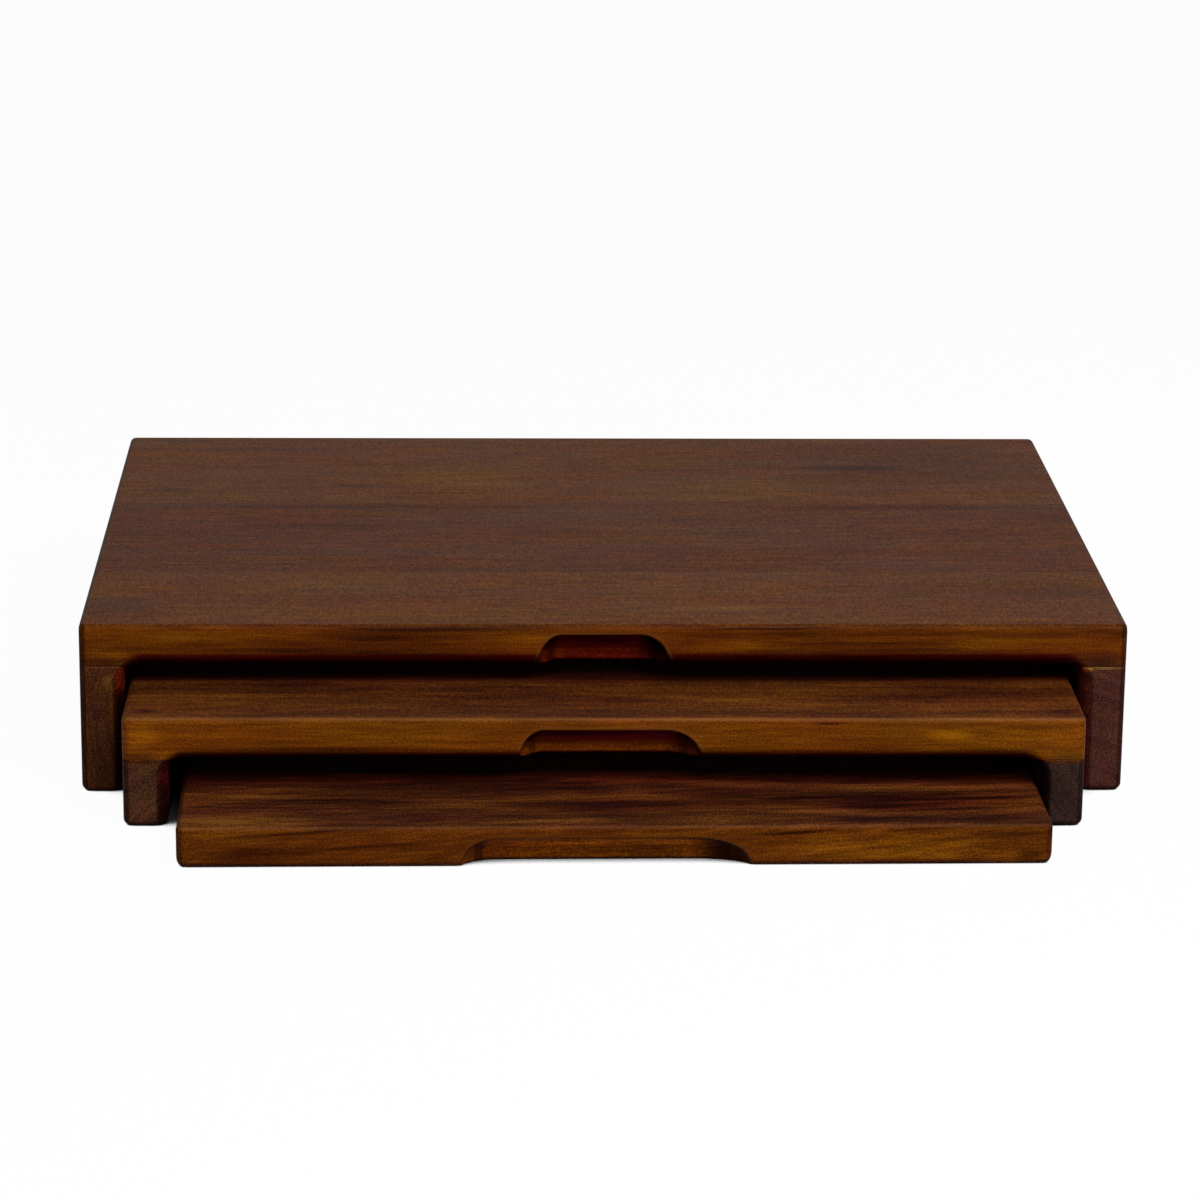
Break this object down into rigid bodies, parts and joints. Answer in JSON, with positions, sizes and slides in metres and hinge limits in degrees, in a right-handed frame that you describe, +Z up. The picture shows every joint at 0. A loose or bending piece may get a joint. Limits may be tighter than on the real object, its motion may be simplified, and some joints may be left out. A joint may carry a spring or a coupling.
{
  "type": "nesting serving board set",
  "caption": "Nest of flat rectangular wooden serving boards on side legs, each standing over the next smaller one, with a finger scoop in its front edge by which it slides out forward.",
  "frame": {"origin": "on the surface that the boards stand on, under the middle of the whole nest's box, with the smaller boards drawn forward as stored", "axes": "+X to the right along the boards' width and grain, -Y towards the user, the side that the smaller boards are drawn out to and the finger scoops face, +Z up"},
  "size_m": [0.457, 0.4284, 0.0762],
  "materials": {
    "outer_board_wood": "oiled, satin",
    "middle_board_wood": "oiled, satin",
    "inner_board_wood": "oiled, satin",
    "leg_wood": "oiled, satin, with end grain at the front and back",
    "dowel_wood": "bare"
  },
  "bodies": {
    "outer_board": {"outer_stave_front": "outer_board_wood", "outer_stave_centre": "outer_board_wood", "outer_stave_back": "outer_board_wood", "outer_leg_left": "leg_wood", "outer_leg_right": "leg_wood", "outer_dowel_left_front": "dowel_wood", "outer_dowel_left_centre": "dowel_wood", "outer_dowel_left_back": "dowel_wood", "outer_dowel_right_front": "dowel_wood", "outer_dowel_right_centre": "dowel_wood", "outer_dowel_right_back": "dowel_wood"},
    "middle_board": {"middle_stave_front": "middle_board_wood", "middle_stave_centre": "middle_board_wood", "middle_stave_back": "middle_board_wood", "middle_leg_left": "leg_wood", "middle_leg_right": "leg_wood", "middle_dowel_left_front": "dowel_wood", "middle_dowel_left_centre": "dowel_wood", "middle_dowel_left_back": "dowel_wood", "middle_dowel_right_front": "dowel_wood", "middle_dowel_right_centre": "dowel_wood", "middle_dowel_right_back": "dowel_wood"},
    "inner_board": {"inner_stave_front": "inner_board_wood", "inner_stave_centre": "inner_board_wood", "inner_stave_back": "inner_board_wood"}
  },
  "joints": [
    {"name": "middle_board_slide", "type": "slide", "parent": "outer_board", "child": "middle_board", "axis": [0, -1, 0], "range_m": [-0.0466, 0.3034]},
    {"name": "inner_board_slide", "type": "slide", "parent": "outer_board", "child": "inner_board", "axis": [0, -1, 0], "range_m": [-0.0966, 0.3]}
  ]
}
